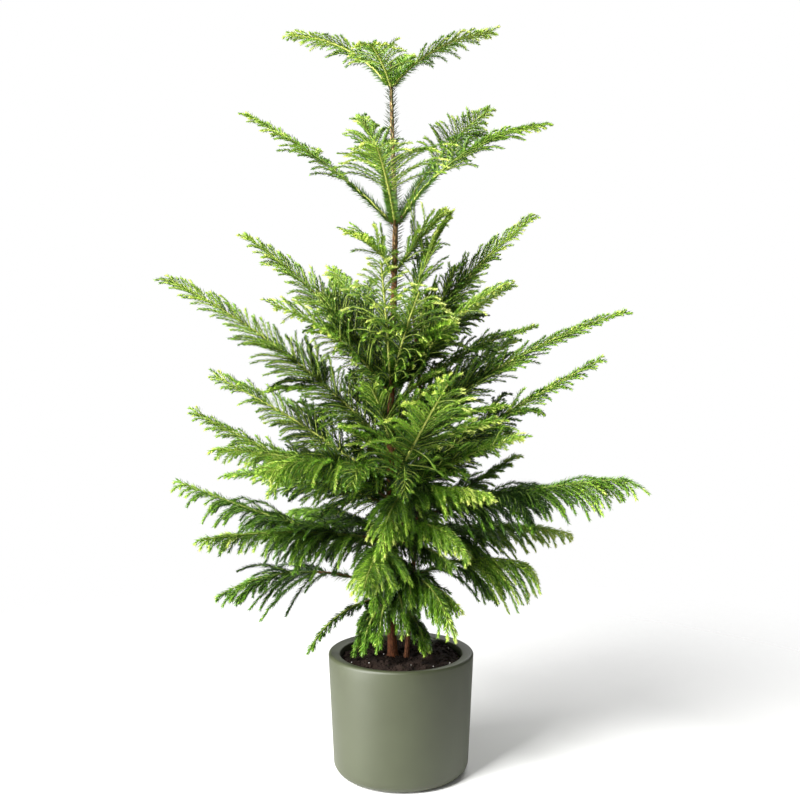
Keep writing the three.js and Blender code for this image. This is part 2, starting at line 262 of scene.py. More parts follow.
def makeBarkGrain():  # upright cracks, flakes and the height that both give
    inputs = {"Scale": 260.0, "Stretch": 0.3}
    group, given, result = newGroup("barkGrain", inputs, ("Cracks", "Flakes", "Height"))
    place = group.nodes.new("ShaderNodeTexCoord")
    stretch = addNode(group, "ShaderNodeCombineXYZ", X=1, Y=1)
    group.links.new(given.outputs["Stretch"], stretch.inputs["Z"])
    drawn = addNode(group, "ShaderNodeVectorMath", operation="MULTIPLY")
    group.links.new(place.outputs["Object"], drawn.inputs[0])
    group.links.new(stretch.outputs[0], drawn.inputs[1])
    cell = addNode(group, "ShaderNodeTexVoronoi", feature="DISTANCE_TO_EDGE")
    noise = addNode(group, "ShaderNodeTexNoise", Detail=6.0, Roughness=0.65)
    for texture in (cell, noise):
        group.links.new(drawn.outputs[0], texture.inputs["Vector"])
        group.links.new(given.outputs["Scale"], texture.inputs["Scale"])
    cracks = spread(group, cell.outputs["Distance"], 0.0, 0.16)
    height = addNode(group, "ShaderNodeMath", operation="MULTIPLY")
    group.links.new(cracks, height.inputs[0])
    group.links.new(noise.outputs["Fac"], height.inputs[1])
    group.links.new(cracks, result.inputs["Cracks"])
    group.links.new(noise.outputs["Fac"], result.inputs["Flakes"])
    group.links.new(height.outputs[0], result.inputs["Height"])
    return group


speckle = makeSpeckle()
barkGrain = makeBarkGrain()


def newFinish(name, roughness=0.5, shine=0.5):
    material = bpy.data.materials.new(name)
    material.use_nodes = True
    shader = material.node_tree.nodes["Principled BSDF"]
    shader.inputs["Roughness"].default_value = roughness
    shader.inputs["Specular IOR Level"].default_value = shine
    return material, material.node_tree, shader


def placeGroup(tree, group, **values):
    node = tree.nodes.new("ShaderNodeGroup")
    node.node_tree = group
    for label, value in values.items():
        node.inputs[label].default_value = value
    return node


def mixColors(tree, factor, low, high):  # low and high are colours or sockets
    node = addNode(tree, "ShaderNodeMix", data_type="RGBA")
    tree.links.new(factor, node.inputs["Factor"])
    for label, value in (("A", low), ("B", high)):
        socket = [item for item in node.inputs if item.name == label and item.type == "RGBA"][0]
        if isinstance(value, tuple):
            socket.default_value = value
        else:
            tree.links.new(value, socket)
    return [item for item in node.outputs if item.type == "RGBA"][0]


def addBump(tree, shader, height, strength, depth):
    bump = addNode(tree, "ShaderNodeBump", Strength=strength, Distance=depth)
    tree.links.new(height, bump.inputs["Height"])
    tree.links.new(bump.outputs[0], shader.inputs["Normal"])


def plainFinish(name, color, roughness, shine=0.5):
    material, _, shader = newFinish(name, roughness, shine)
    shader.inputs["Base Color"].default_value = color
    return material


# floor

floorSet = {
    "radius": 1.6,
    "fadeStart": 0.15,  # the floor thins out from here to nothing at its edge
    "color": paint(246, 246, 244),
    "roughness": 0.9,
    "shine": 0.1,
    "sides": 96,
    "below": 0.5 * mm,  # under the pot
}


def floorFinish():
    material, tree, shader = newFinish("paleFloor", floorSet["roughness"], floorSet["shine"])
    shader.inputs["Base Color"].default_value = floorSet["color"]
    place = tree.nodes.new("ShaderNodeTexCoord")
    length = addNode(tree, "ShaderNodeVectorMath", operation="LENGTH")
    tree.links.new(place.outputs["Object"], length.inputs[0])
    thin = spread(tree, length.outputs["Value"], floorSet["fadeStart"], floorSet["radius"], 1.0, 0.0)
    tree.links.new(thin, shader.inputs["Alpha"])
    return material


def makeFloor():
    sides, radius = floorSet["sides"], floorSet["radius"]
    turn = turnsOf(sides)
    points = np.stack((radius * np.cos(turn), radius * np.sin(turn), np.zeros(sides)), axis=1)
    floor = arrayMesh("floor", points, [np.arange(sides)[None]], floorFinish(), smooth=False)
    floor.location.z = cadBox[0][2] - floorSet["below"]


makeFloor()
print("floor ready")


# pot

potSet = {
    "footRadius": 116 * mm,
    "footRound": 16 * mm,
    "lipRound": 5 * mm,
    "rimWidth": 20 * mm,
    "rimFall": 3 * mm,  # the rim's top slopes inward by this
    "wall": 18 * mm,
    "floor": 16 * mm,
    "innerRound": 2.5 * mm,
    "segments": 144,
    "roundSteps": 8,
    "wallSteps": 10,
    "innerSteps": 8,
    "axis": 1e-5,  # radius at the middle of the floor
    "glaze": (paint(58, 62, 41), paint(65, 70, 48)),  # from cloud to cloud
    "glazeSpeck": paint(73, 77, 56),
    "scales": {"Cloud": 9.0, "Grain": 900.0},
    "roughness": (0.46, 0.52),
    "shine": 0.6,
    "bump": (0.12, 0.4 * mm),  # strength and depth
}


def potFinish():  # matte sage glaze with faint clouding
    material, tree, shader = newFinish("potGlaze", shine=potSet["shine"])
    grain = placeGroup(tree, speckle, **potSet["scales"])
    clouds, grains = grain.outputs["Clouds"], grain.outputs["Grains"]
    color = mixColors(tree, spread(tree, clouds, 0.3, 0.7), *potSet["glaze"])
    color = mixColors(tree, spread(tree, grains, 0.62, 0.8), color, potSet["glazeSpeck"])
    tree.links.new(color, shader.inputs["Base Color"])
    tree.links.new(spread(tree, clouds, 0.2, 0.8, *potSet["roughness"]), shader.inputs["Roughness"])
    addBump(tree, shader, grains, *potSet["bump"])
    return material


def arcPoints(center, radius, start, steps):
    turn = np.radians(start + 90 * np.arange(steps + 1) / steps)
    return np.stack((center[0] + radius * np.cos(turn), center[1] + radius * np.sin(turn)), axis=1)


def latheMesh(name, profile, segments, material):
    turn = turnsOf(segments)
    radius, height = profile[:, :1], profile[:, 1:]
    points = np.stack((radius * np.cos(turn), radius * np.sin(turn), height + 0 * turn), axis=2)
    return arrayMesh(name, points.reshape(-1, 3), [ringFaces(len(profile), segments)], material)


def makePot():
    low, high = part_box("pot")
    rimRadius, top = high[0], high[2]
    foot, lip, inner = potSet["footRound"], potSet["lipRound"], potSet["innerRound"]
    steps = potSet["roundSteps"]
    innerTop = rimRadius - potSet["rimWidth"]
    innerFoot = potSet["footRadius"] - potSet["wall"]
    rimEdge = top - potSet["rimFall"]
    wallHeights = np.linspace(foot, top - lip, potSet["wallSteps"])[1:-1]
    wallRadii = mix(potSet["footRadius"], rimRadius, (wallHeights - foot) / (top - lip - foot))
    innerHeights = np.linspace(rimEdge - inner, potSet["floor"], potSet["innerSteps"])
    innerRadii = mix(innerFoot, innerTop, (innerHeights - potSet["floor"]) / (rimEdge - potSet["floor"]))
    profile = np.concatenate((
        [(potSet["axis"], low[2])],
        arcPoints((potSet["footRadius"] - foot, foot), foot, -90, steps),
        np.stack((wallRadii, wallHeights), axis=1),
        arcPoints((rimRadius - lip, top - lip), lip, 0, steps),
        arcPoints((innerTop + inner, rimEdge - inner), inner, 90, steps),
        np.stack((innerRadii, innerHeights), axis=1)[1:],
        [(potSet["axis"], potSet["floor"])],
    ))
    addPiece(latheMesh("pot_glazed", profile, potSet["segments"], potFinish()), "pot", "pot")


# soil

soilSet = {
    "edgeFall": 3 * mm,
    "rings": 46,
    "segments": 120,
    "clearance": 0.4 * mm,  # from the solid's edge
    "skirt": 20 * mm,  # the edge goes down by this
    "clumps": 520,
    "clumpWidth": (3, 8),  # millimetres
    "clumpHeight": 4.5 * mm,
    "clumpShare": (-0.7, 1),  # of that height, hollows below 0
    "heap": (46 * mm, 40 * mm, 11 * mm),  # place and height of the higher side
    "heapWidth": 34 * mm,
    "crumbs": 1500,
    "crumbSize": (1.0 * mm, 4.2 * mm),
    "crumbSkew": 2.5,  # most are small
    "perlite": 16,
    "perliteSize": (0.8 * mm, 1.7 * mm),
    "perliteRise": 1 * mm,
    "strewn": 0.985,  # crumbs and perlite lie within this share of the reach
    "rough": (0.7, 1.25),  # of a lump's corners
    "stretch": (0.7, 1.2),
    "colors": (paint(22, 16, 13), paint(46, 35, 29)),
    "grainColor": paint(66, 53, 45),
    "scales": {"Cloud": 60.0, "Grain": 700.0},
    "roughness": 0.95,
    "shine": 0.15,
    "bump": (0.6, 2 * mm),
    "perliteColors": (paint(206, 202, 194), paint(244, 242, 238)),
    "perliteCloud": 300.0,
    "perliteRoughness": 0.8,
    "seed": 7,
}


def soilFinish():
    material, tree, shader = newFinish("soilCrumb", soilSet["roughness"], soilSet["shine"])
    grain = placeGroup(tree, speckle, **soilSet["scales"])
    clouds, grains = grain.outputs["Clouds"], grain.outputs["Grains"]
    color = mixColors(tree, spread(tree, clouds, 0.3, 0.7), *soilSet["colors"])
    color = mixColors(tree, spread(tree, grains, 0.6, 0.75), color, soilSet["grainColor"])
    tree.links.new(color, shader.inputs["Base Color"])
    addBump(tree, shader, grains, *soilSet["bump"])
    return material


def perliteFinish():
    material, tree, shader = newFinish("perlite", soilSet["perliteRoughness"])
    grain = placeGroup(tree, speckle, Cloud=soilSet["perliteCloud"])
    color = mixColors(tree, grain.outputs["Clouds"], *soilSet["perliteColors"])
    tree.links.new(color, shader.inputs["Base Color"])
    return material


def lumps(places, sizes, rng):  # rough pebbles of 20 faces, joined
    golden = (1 + math.sqrt(5)) / 2
    across = 1.9  # brings the corners to about 1 from the middle
    upright = np.array([(-1, golden, 0), (1, golden, 0), (-1, -golden, 0), (1, -golden, 0)]) / across
    corners = np.concatenate([np.roll(upright, axis, axis=1) for axis in range(3)])
    faces = np.array([(0, 11, 5), (0, 5, 1), (0, 1, 7), (0, 7, 10), (0, 10, 11), (1, 5, 9), (5, 11, 4),
                      (11, 10, 2), (10, 7, 6), (7, 1, 8), (3, 9, 4), (3, 4, 2), (3, 2, 6), (3, 6, 8),
                      (3, 8, 9), (4, 9, 5), (2, 4, 11), (6, 2, 10), (8, 6, 7), (9, 8, 1)])
    count, each = len(places), len(corners)
    rough = corners[None] * rng.uniform(*soilSet["rough"], (count, each, 1))
    rough = rough * rng.uniform(*soilSet["stretch"], (count, 1, 3))
    points = places[:, None] + rough * sizes[:, None, None]
    return points.reshape(-1, 3), (faces[None] + (np.arange(count) * each)[:, None, None]).reshape(-1, 3)


def makeSoil():
    rng = np.random.default_rng(soilSet["seed"])
    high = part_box("soil")[1]
    reach, level = high[0] - soilSet["clearance"], high[2]
    rings, segments = soilSet["rings"], soilSet["segments"]
    share = np.linspace(0, 1, rings)
    turn = turnsOf(segments)
    flatX = reach * share[:, None] * np.cos(turn)
    flatY = reach * share[:, None] * np.sin(turn)
    clumps = soilSet["clumps"]
    clumpPlace = rng.uniform(-reach, reach, (clumps, 2))
    clumpWidth = rng.uniform(*soilSet["clumpWidth"], clumps) * mm
    clumpHeight = soilSet["clumpHeight"] * rng.uniform(*soilSet["clumpShare"], clumps)

    def surface(x, y):
        radius = np.hypot(x, y) / reach
        away = (x[..., None] - clumpPlace[:, 0]) ** 2 + (y[..., None] - clumpPlace[:, 1]) ** 2
        bumps = np.sum(clumpHeight * np.exp(-away / (2 * clumpWidth ** 2)), axis=-1)
        heapX, heapY, heapHeight = soilSet["heap"]
        fromHeap = (x - heapX) ** 2 + (y - heapY) ** 2
        heap = heapHeight * np.exp(-fromHeap / (2 * soilSet["heapWidth"] ** 2))
        edge = soilSet["edgeFall"] * radius ** 3
        return level - edge + (bumps + heap) * (1 - radius ** 8)  # clumps fade out at the wall

    heights = surface(flatX, flatY)
    points = np.stack((flatX, flatY, heights), axis=2).reshape(-1, 3)
    skirt = points[-segments:] * (1, 1, 0) + (0, 0, level - soilSet["skirt"])
    points = np.concatenate((points, skirt))
    crumbs = soilSet["crumbs"]
    spots = rng.random((crumbs + soilSet["perlite"], 2))
    spotRadius = reach * soilSet["strewn"] * np.sqrt(spots[:, 0])
    spotX = spotRadius * np.cos(spots[:, 1] * 2 * math.pi)
    spotY = spotRadius * np.sin(spots[:, 1] * 2 * math.pi)
    spotPlaces = np.stack((spotX, spotY, surface(spotX, spotY)), axis=1)
    crumbSizes = mix(*soilSet["crumbSize"], rng.random(crumbs) ** soilSet["crumbSkew"])
    crumbPoints, crumbFaces = lumps(spotPlaces[:crumbs], crumbSizes, rng)
    bed = arrayMesh("soil_bed", np.concatenate((points, crumbPoints)),
                    [ringFaces(rings + 1, segments), crumbFaces + len(points)], soilFinish())
    addPiece(bed, "soil", "soil")
    whiteSizes = mix(*soilSet["perliteSize"], rng.random(soilSet["perlite"]))
    whitePlaces = spotPlaces[crumbs:] + (0, 0, soilSet["perliteRise"])
    whitePoints, whiteFaces = lumps(whitePlaces, whiteSizes, rng)
    white = arrayMesh("soil_perlite", whitePoints, [whiteFaces], perliteFinish())
    addPiece(white, "soil", "soil")


makePot()
makeSoil()
print("pot and soil ready")


# trunk and second stem, millimetres in the courses: height, lean, depth, radius

trunkSet = {
    "course": np.array((
        (188.3, -14, 0, 11.5), (197, -14.4, 0, 8.8), (225, -15.5, 0, 7.6), (365, -20, 0, 7.1),
        (500, -19, 0, 6.6), (655, -17, 0, 5.9), (800, -12.5, 0, 5.2), (940, -9.5, 0, 4.6),
        (1060, -14, 0, 3.8), (1177, -17, 0, 3), (1222, -17, 0, 1.2))) * mm,
    "sides": 28,
    "ringStep": 2.4 * mm,
    "relief": 0.075,  # share of the radius
    "bark": {
        "colors": (paint(148, 88, 54), paint(222, 204, 138)),  # low and high on the stem
        "turns": (0.8, 1.02),  # from one to the other between these heights
        "crack": paint(84, 50, 32),
        "scale": 230,
        "stretch": 0.35,
    },
    "seed": 11,
}

stemSet = {
    "course": np.array((
        (188.3, 9, -10, 5.6), (200, 10, -11, 4.2), (330, 20, -15, 3.9), (410, 26, -4, 3.7),
        (515, 34, 6, 3.5), (617, 36, 12, 3.2), (700, 30, 2, 2.8), (800, 18, -10, 2))) * mm,
    "sides": 20,
    "ringStep": 2.4 * mm,
    "relief": 0.08,
    "bark": {
        "colors": (paint(140, 88, 56), paint(130, 112, 66)),
        "turns": (0.6, 0.85),
        "crack": paint(74, 46, 30),
        "scale": 330,
        "stretch": 0.35,
    },
    "seed": 12,
}

barkSet = {  # what all bark has
    "roughness": (0.72, 0.92),
    "shine": 0.25,
    "bump": (0.7, 1.2 * mm),
}

reliefSet = {
    "ribs": (3, 5, 8, 11),  # round the stem
    "ribDrift": 0.8,
    "driftWaves": (20, 60),
    "waves": (220, 410, 690),  # scales, finer and finer
    "tilts": (1, 4),
    "waveHeight": 0.4,
    "phase": 6,  # waves start anywhere up to this
    "scarStep": 12 * mm,
    "scarHeight": 1.1,
    "scarWidth": 1.4 * mm,
    "grain": 0.25,
}


def barkFinish(name, bark):
    material, tree, shader = newFinish(name, shine=barkSet["shine"])
    grain = placeGroup(tree, barkGrain, Scale=bark["scale"], Stretch=bark["stretch"])
    flakes = grain.outputs["Flakes"]
    place = tree.nodes.new("ShaderNodeTexCoord")
    split = tree.nodes.new("ShaderNodeSeparateXYZ")
    tree.links.new(place.outputs["Object"], split.inputs[0])
    color = mixColors(tree, spread(tree, split.outputs["Z"], *bark["turns"]), *bark["colors"])
    color = mixColors(tree, spread(tree, flakes, 0.35, 0.7), bark["crack"], color)
    color = mixColors(tree, grain.outputs["Cracks"], bark["crack"], color)
    tree.links.new(color, shader.inputs["Base Color"])
    tree.links.new(spread(tree, flakes, 0.2, 0.8, *barkSet["roughness"]), shader.inputs["Roughness"])
    addBump(tree, shader, grain.outputs["Height"], *barkSet["bump"])
    return material


def stemAt(course, height):  # centre and radius of an upright stem at heights
    columns = [np.interp(height, course[:, 0], course[:, column]) for column in (1, 2, 3)]
    return np.stack((columns[0], columns[1], height + 0 * columns[0]), axis=-1), columns[2]


def barkRelief(turn, along, rng, amount):  # upright ribs that wander, scales and ring scars
    height = np.zeros((len(along), len(turn)))
    phase = reliefSet["phase"]
    for ribs in reliefSet["ribs"]:
        start = rng.uniform(0, 2 * math.pi)
        wander = np.sin(along * rng.uniform(*reliefSet["driftWaves"]) + rng.uniform(0, phase))
        drift = start + reliefSet["ribDrift"] * wander
        height += np.sin(ribs * turn[None] + drift[:, None]) / math.sqrt(ribs)
    for waves in reliefSet["waves"]:
        tilt = rng.integers(*reliefSet["tilts"])
        scales = np.sin(along[:, None] * waves + tilt * turn[None] + rng.uniform(0, phase))
        height += reliefSet["waveHeight"] * scales
    scars = rng.uniform(along[0], along[-1], int((along[-1] - along[0]) / reliefSet["scarStep"]))
    for scar in scars:
        height += reliefSet["scarHeight"] * np.exp(-((along - scar) / reliefSet["scarWidth"]) ** 2)[:, None]
    return 1 + amount * (height / 2 + reliefSet["grain"] * rng.standard_normal(height.shape))


def barkTube(centers, radii, along, settings, rng):  # points, quads and the triangles of both ends
    sides = settings["sides"]
    girth = radii[:, None] * barkRelief(turnsOf(sides), along, rng, settings["relief"])
    points, quads = tubeArrays(centers[None], girth[None], sides)
    hub = len(points)
    ends = np.concatenate((fanFaces(0, sides, hub, True), fanFaces(hub - sides, sides, hub + 1)))
    return np.concatenate((points, centers[:1], centers[-1:])), quads, ends


def makeStem(name, settings, finishName, node):
    course = settings["course"]
    heights = np.arange(course[0, 0], course[-1, 0], settings["ringStep"])
    heights = np.append(heights, course[-1, 0])
    centers, radii = stemAt(course, heights)
    steps = np.linalg.norm(np.diff(centers, axis=0), axis=1)
    along = np.concatenate(([0], np.cumsum(steps)))
    rng = np.random.default_rng(settings["seed"])
    points, *faces = barkTube(centers, radii, along, settings, rng)
    addPiece(arrayMesh(name, points, faces, barkFinish(finishName, settings["bark"])), "bark", node)


makeStem("trunk_bark", trunkSet, "trunkBark", "trunk")
makeStem("second_stem_bark", stemSet, "stemBark", "second_stem")
print("stems ready")


# limbs, as in the solids: degrees and millimetres

limbLook = {  # how a limb is dressed
    "spray": 1.0,  # length of its sprays
    "fan": 0,  # how much wider they open
    "arch": 0,  # how far they bend outward
    "gold": 0,  # brighter ends
    "crest": 1.0,  # length of the upper row
    "skirt": 1.0,  # and of the lower row
    "end": 0.22,  # length of the last sprays
    "limp": 1.0,  # how much of its tier's sag and droop they have
    "first": 0,  # share of the limb where they begin, if later than in its tier
    "pitch": 9.5,  # millimetres between pairs of sprays
    "pale": 0,  # brighter or darker than its tier: partly its own tone, partly painted light and painted shade for where it lies lit or shaded
}

tierLook = {
    "sag": 0.02,  # pulls sprays down from the root
    "droop": 0.7,  # and along their length
    "start": 0.1,  # share of the limb where sprays begin
    "fresh": 0.4,  # how bright its needles are: partly fresh growth, partly painted light and painted shade for its place in the crown
    "tips": 0.12,  # how much brighter its ends are
    "hang": 0,  # share of sprays on the underside
    "inner": 0,  # round the limb near the trunk
    "stray": 0,  # standing up
    "brown": 0.05,  # woody share of the limb
    "rope": 0,  # how far sprays are round, apart and limp
}


# rise at the root and at the tip, roll of the frond, up from its tier, bare share
def limb(bearing, length, rise, tipRise, roll=0, up=0, bare=0, **look):
    return {"bearing": bearing, "length": length, "rise": rise, "tipRise": tipRise,
            "roll": roll, "up": up, "bare": bare, **limbLook, **look}


def newTier(height, limbs, **look):
    return {"height": height, "limbs": limbs, **tierLook, **look}


trunkTiers = {
    "top": newTier(1177, start=0.26, fresh=0.53, brown=0, limbs=[
        limb(180, 216, 54, 1, -20, spray=0.9, fan=14, crest=0.6, skirt=1.3, end=0.3),
        limb(0, 216, 52, 6, 20, spray=0.9, fan=10, crest=0.7, skirt=1.2, end=0.3),
        limb(256, 146, 23, -4, spray=1.3, fan=16, arch=24, gold=0.2),
        limb(72, 154, 54, 30, spray=0.8),
    ]),
    "upper": newTier(938, droop=0.8, start=0.32, fresh=0.47, limbs=[
        limb(180, 330, 47, 27, 30, fan=26, crest=0.2, skirt=0.95),
        limb(0, 332, 61, 8, -30, spray=0.85, fan=22, crest=0.8, skirt=1.3),
        limb(42, 362, 58, 35, -58, 4, spray=0.6, fan=28, gold=0.1, first=0.44, pitch=7),
        limb(263, 242, 31, 6, 1, spray=1.62, fan=12, arch=30, gold=0.2, crest=0.95, skirt=1.3,
             first=0.36, pitch=12),
        limb(110, 320, 65, 41, 0, 2),
    ]),
    "spur": newTier(855, sag=0.04, start=0.2, fresh=0.52, tips=0.2, inner=0.2, stray=0.06, limbs=[
        limb(228, 118, 52, 6, 20, spray=1.5, fan=14, pitch=8),
        limb(340, 134, 54, 40, -10, 5, spray=1.7, fan=20, pitch=8),
    ]),
    "middle": newTier(654, droop=0.8, start=0.14, fresh=0.44, tips=0.26, hang=0.06, inner=1.0,
                      brown=0.08, limbs=[
        limb(180, 376, 60, 34, 35, spray=0.95, fan=16, crest=0.9),
        limb(8, 400, 62, 38, -35, 10, skirt=0.75, pale=-0.05),
        limb(42, 390, 45, 22, -20, skirt=0.5),
        limb(329, 286, 53, 24, -25, spray=1.15, fan=6, arch=16, gold=0.2, skirt=0.5, pitch=14),
        limb(285, 236, 50, 30, 0, 6, spray=1.4, fan=-2, arch=40, gold=0.25, first=0.36, pitch=14),
        limb(216, 282, 50, 13, 42, -7, spray=1.2, fan=16, arch=14, gold=0.25, skirt=0.5,
             first=0.28, pitch=14),
        limb(122, 330, 59, 34, 15, 8),
        limb(265, 268, 62, 40, 0, -2, spray=1.25, fan=4, arch=34, gold=0.2, first=0.34, pitch=14),
    ]),
    "wide": newTier(555, sag=0.03, droop=0.5, start=0.06, fresh=0.43, tips=0.14, hang=0.08,
                    inner=0.7, stray=0.06, brown=0.08, rope=0.1, limbs=[
        limb(181, 488, 47, 28, 45, spray=0.88, fan=20, crest=0.75, skirt=1.1, end=0.36),
        limb(354, 476, 45, 17, -35, -8, spray=0.85, crest=0.75, pale=-0.06),
        limb(40, 394, 45, 21, -20, -7, skirt=0.65),
        limb(100, 354, 45, 20),
    ]),
    "lower": newTier(480, sag=0.06, start=0.06, tips=0.16, hang=0.12, inner=0.8, stray=0.08,
                     brown=0.08, rope=0.3, limbs=[
        limb(175, 374, 38, 26, 40, 6, spray=0.88, fan=20, crest=1.1, skirt=0.85, pale=-0.01),
        limb(349, 426, 36, 28, -35, 2, spray=0.85, crest=0.5, pale=-0.06),
        limb(290, 322, 38, 33, spray=1.35, fan=18, arch=6, gold=0.18, first=0.1, pitch=14),
        limb(190, 376, 24, 29, 35, -28, spray=0.95, fan=14, crest=0.55),
        limb(216, 340, 30, 3, 25, -14, skirt=1.3, limp=2.2, pitch=11),
        limb(234, 328, 34, -14, 10, -4, spray=1.1, skirt=1.35, limp=2.2, pitch=11),
        limb(150, 378, 16, -8, 15, -18, pale=-0.06),
        limb(18, 264, 37, 12, -25, -8),
        limb(327, 284, 38, 13, -20, -22, spray=1.1, crest=1.2, skirt=0.6),
        limb(85, 334, 35, 5),
    ]),
    "low": newTier(390, sag=0.25, droop=1.5, start=0.08, fresh=0.43, tips=0.14, hang=0.5, inner=0.6,
                   brown=0.15, rope=0.8, limbs=[
        limb(178, 392, 13, 22, 30, -14, 0.18, crest=0.6, skirt=0.75, end=0.3, pale=-0.03),
        limb(214, 352, 14, -3, 20, 0, crest=0.7, skirt=0.75),
        limb(337, 414, 22, 6, -25, 24, 0.16, crest=1.2, end=0.5, pale=-0.1),
        limb(318, 232, 40, -10, 0, 42, spray=1.2, gold=0.1, pale=0.08),
        limb(14, 348, 17, -14, -20, -8, pale=0.16),
        limb(262, 260, 16, -24, 0, -14, spray=1.2, gold=0.06, pale=0.04),
        limb(306, 228, 40, -40, 0, 4, spray=1.2, gold=0.1, pale=0.08),
        limb(75, 334, 15, -12),
        limb(128, 344, 16, -12, 0, 6),
    ]),
    "base": newTier(304, sag=0.45, droop=1.8, start=0.12, fresh=0.39, tips=0.14, hang=0.6, inner=0.5,
                    brown=0.25, rope=1, limbs=[
        limb(183, 314, 27, -29, 10, 0, 0.22, spray=1.35, fan=12, end=0.12, limp=0.5, pitch=15,
             pale=-0.12),
        limb(357, 258, 38, -14, -10, spray=1.75, end=0.3, first=0.46, pale=0.2),
        limb(299, 224, 46, -56, 0, 2, spray=1.25, end=0.35, pale=0.06),
        limb(95, 266, 15, -25),
        limb(202, 182, 4, -60, 0, -14, spray=0.3, limp=0.6, pitch=17, pale=-0.12),
    ]),
    # short shoots that hang round the trunk's foot
    "foot": newTier(285, sag=0.6, start=0.12, fresh=0.35, hang=0.3, inner=0.4, brown=0.3, rope=1,
                    limbs=[
        limb(206, 118, -24, -80, spray=0.5, pale=-0.14),
        limb(230, 116, -10, -85, spray=0.7, pale=-0.1),
        limb(256, 122, 0, -85, 0, 10, spray=0.8),
        limb(284, 136, 20, -80, 0, 30, spray=1.1),
        limb(316, 118, 0, -80, 0, -4, spray=0.9),
        limb(345, 108, -10, -80, 0, -10, spray=0.7),
        limb(140, 112, -10, -75, spray=0.8),
        limb(50, 112, -10, -75, spray=0.8),
        limb(288, 150, 24, -66, 0, 74, spray=1.1),
        limb(258, 140, 20, -70, 0, 64),
        limb(312, 165, 14, -26, 0, 100),
        limb(322, 160, 24, -40, 0, 30, spray=1.4, pale=0.06),
    ]),
    # short shoots inside the crown
    "heart": newTier(560, sag=0.04, fresh=0.36, inner=0.3, stray=0.1, rope=0.1, limbs=[
        limb(224, 130, 50, 20, 10, -40, spray=1.2),
        limb(250, 140, 60, 34, 0, 4, spray=1.3),
        limb(318, 130, 52, 26, 0, 22, spray=1.2),
        limb(330, 120, 46, 24, -10, 60, spray=1.2),
    ]),
}
stemTiers = {
    "second": newTier(797, droop=0.6, fresh=0.5, tips=0.2, inner=0.2, stray=0.06, limbs=[
        limb(350, 176, 78, 56, -20, spray=1.5, fan=14, pitch=8),
    ]),
    "side": newTier(660, sag=0.05, start=0.12, tips=0.2, hang=0.1, inner=0.4, stray=0.08, brown=0.1,
                    rope=0.2, limbs=[
        limb(5, 236, 42, 12, -20, skirt=0.6),
        limb(287, 190, 40, 8, 0, 24, spray=1.2),
        limb(330, 180, 34, 6, -10, -92),
    ]),
    "fore": newTier(462, sag=0.25, droop=1.5, fresh=0.45, tips=0.2, hang=0.4, inner=0.4, brown=0.1,
                    rope=0.8, limbs=[
        limb(250, 234, 30, -70, spray=1.2),
        limb(10, 208, 22, 34, -20, -20, limp=0.4),
    ]),
}

limbSet = {
    "clearance": 0.4 * mm,
    "tipRoom": 18,  # millimetres left for the last needles
    "radii": (2.6 * mm, 1.1 * mm),  # root and tip
    "slices": 40,
    "rachisSteps": 28,
    "rachisSides": 8,
    "tubeRings": 15,  # of the brown and of the green part
    "dullSag": 0.2,  # limbs and twigs are dull where sprays sag more
    "colors": {"brown": paint(116, 80, 46), "bright": paint(194, 200, 100), "dull": paint(128, 140, 58)},
    "roughness": 0.7,
    "seed": 101,  # of the first limb
}


def limbCourse(row, tier, course):
    root, radius = stemAt(course, np.float64((tier["height"] + row["up"]) * mm))
    bearing = math.radians(row["bearing"])
    outward = np.array((math.cos(bearing), math.sin(bearing), 0.0))
    start = root + outward * (radius + limbSet["clearance"])
    slices = limbSet["slices"]

    def directionAt(share):
        rise = np.radians(mix(row["rise"], row["tipRise"], np.asarray(share)))
        return outward * np.cos(rise)[..., None] + worldUp * np.sin(rise)[..., None]

    ways = directionAt((np.arange(slices) + 0.5) / slices)
    steps = ways * (row["length"] - limbSet["tipRoom"]) * mm / slices
    points = np.concatenate((start[None], start + np.cumsum(steps, axis=0)))
    marks = np.linspace(0, 1, slices + 1)

    def pointAt(share):
        return np.stack([np.interp(share, marks, points[:, axis]) for axis in range(3)], axis=-1)

    return {"directionAt": directionAt, "pointAt": pointAt, "row": row, "tier": tier}


growths = [limbCourse(row, tier, course)
           for course, tiers in ((trunkSet["course"], trunkTiers), (stemSet["course"], stemTiers))
           for tier in tiers.values() for row in tier["limbs"]]

boughSet = {
    "radii": (3.4 * mm, 2.5 * mm),
    "from": -0.004,  # share of the limb, whose course holds still before 0
    "rings": 36,
    "sides": 14,
    "relief": 0.08,
    "bark": {
        "colors": (paint(120, 78, 48), paint(126, 84, 50)),
        "turns": (0.3, 0.6),
        "crack": paint(50, 32, 22),
        "scale": 380,
        "stretch": 0.8,
    },
    "seed": 101,
}


def makeBoughs():
    rng = np.random.default_rng(boughSet["seed"])
    points, quads, ends, used = [], [], [], 0
    rings = boughSet["rings"]
    for growth in growths:
        bare = growth["row"]["bare"]
        if bare == 0:
            continue
        centers = growth["pointAt"](np.linspace(boughSet["from"], bare, rings))
        along = np.linspace(0, growth["row"]["length"] * bare * mm, rings)
        tube = barkTube(centers, np.linspace(*boughSet["radii"], rings), along, boughSet, rng)
        points.append(tube[0])
        quads.append(tube[1] + used)
        ends.append(tube[2] + used)
        used += len(tube[0])
    faces = [np.concatenate(quads), np.concatenate(ends)]
    material = barkFinish("boughBark", boughSet["bark"])
    addPiece(arrayMesh("bough_bark", np.concatenate(points), faces, material), "twig_bark", *boughNodes)


makeBoughs()
print("boughs ready")


# sprays in pairs along every limb, lengths in millimetres, angles in degrees

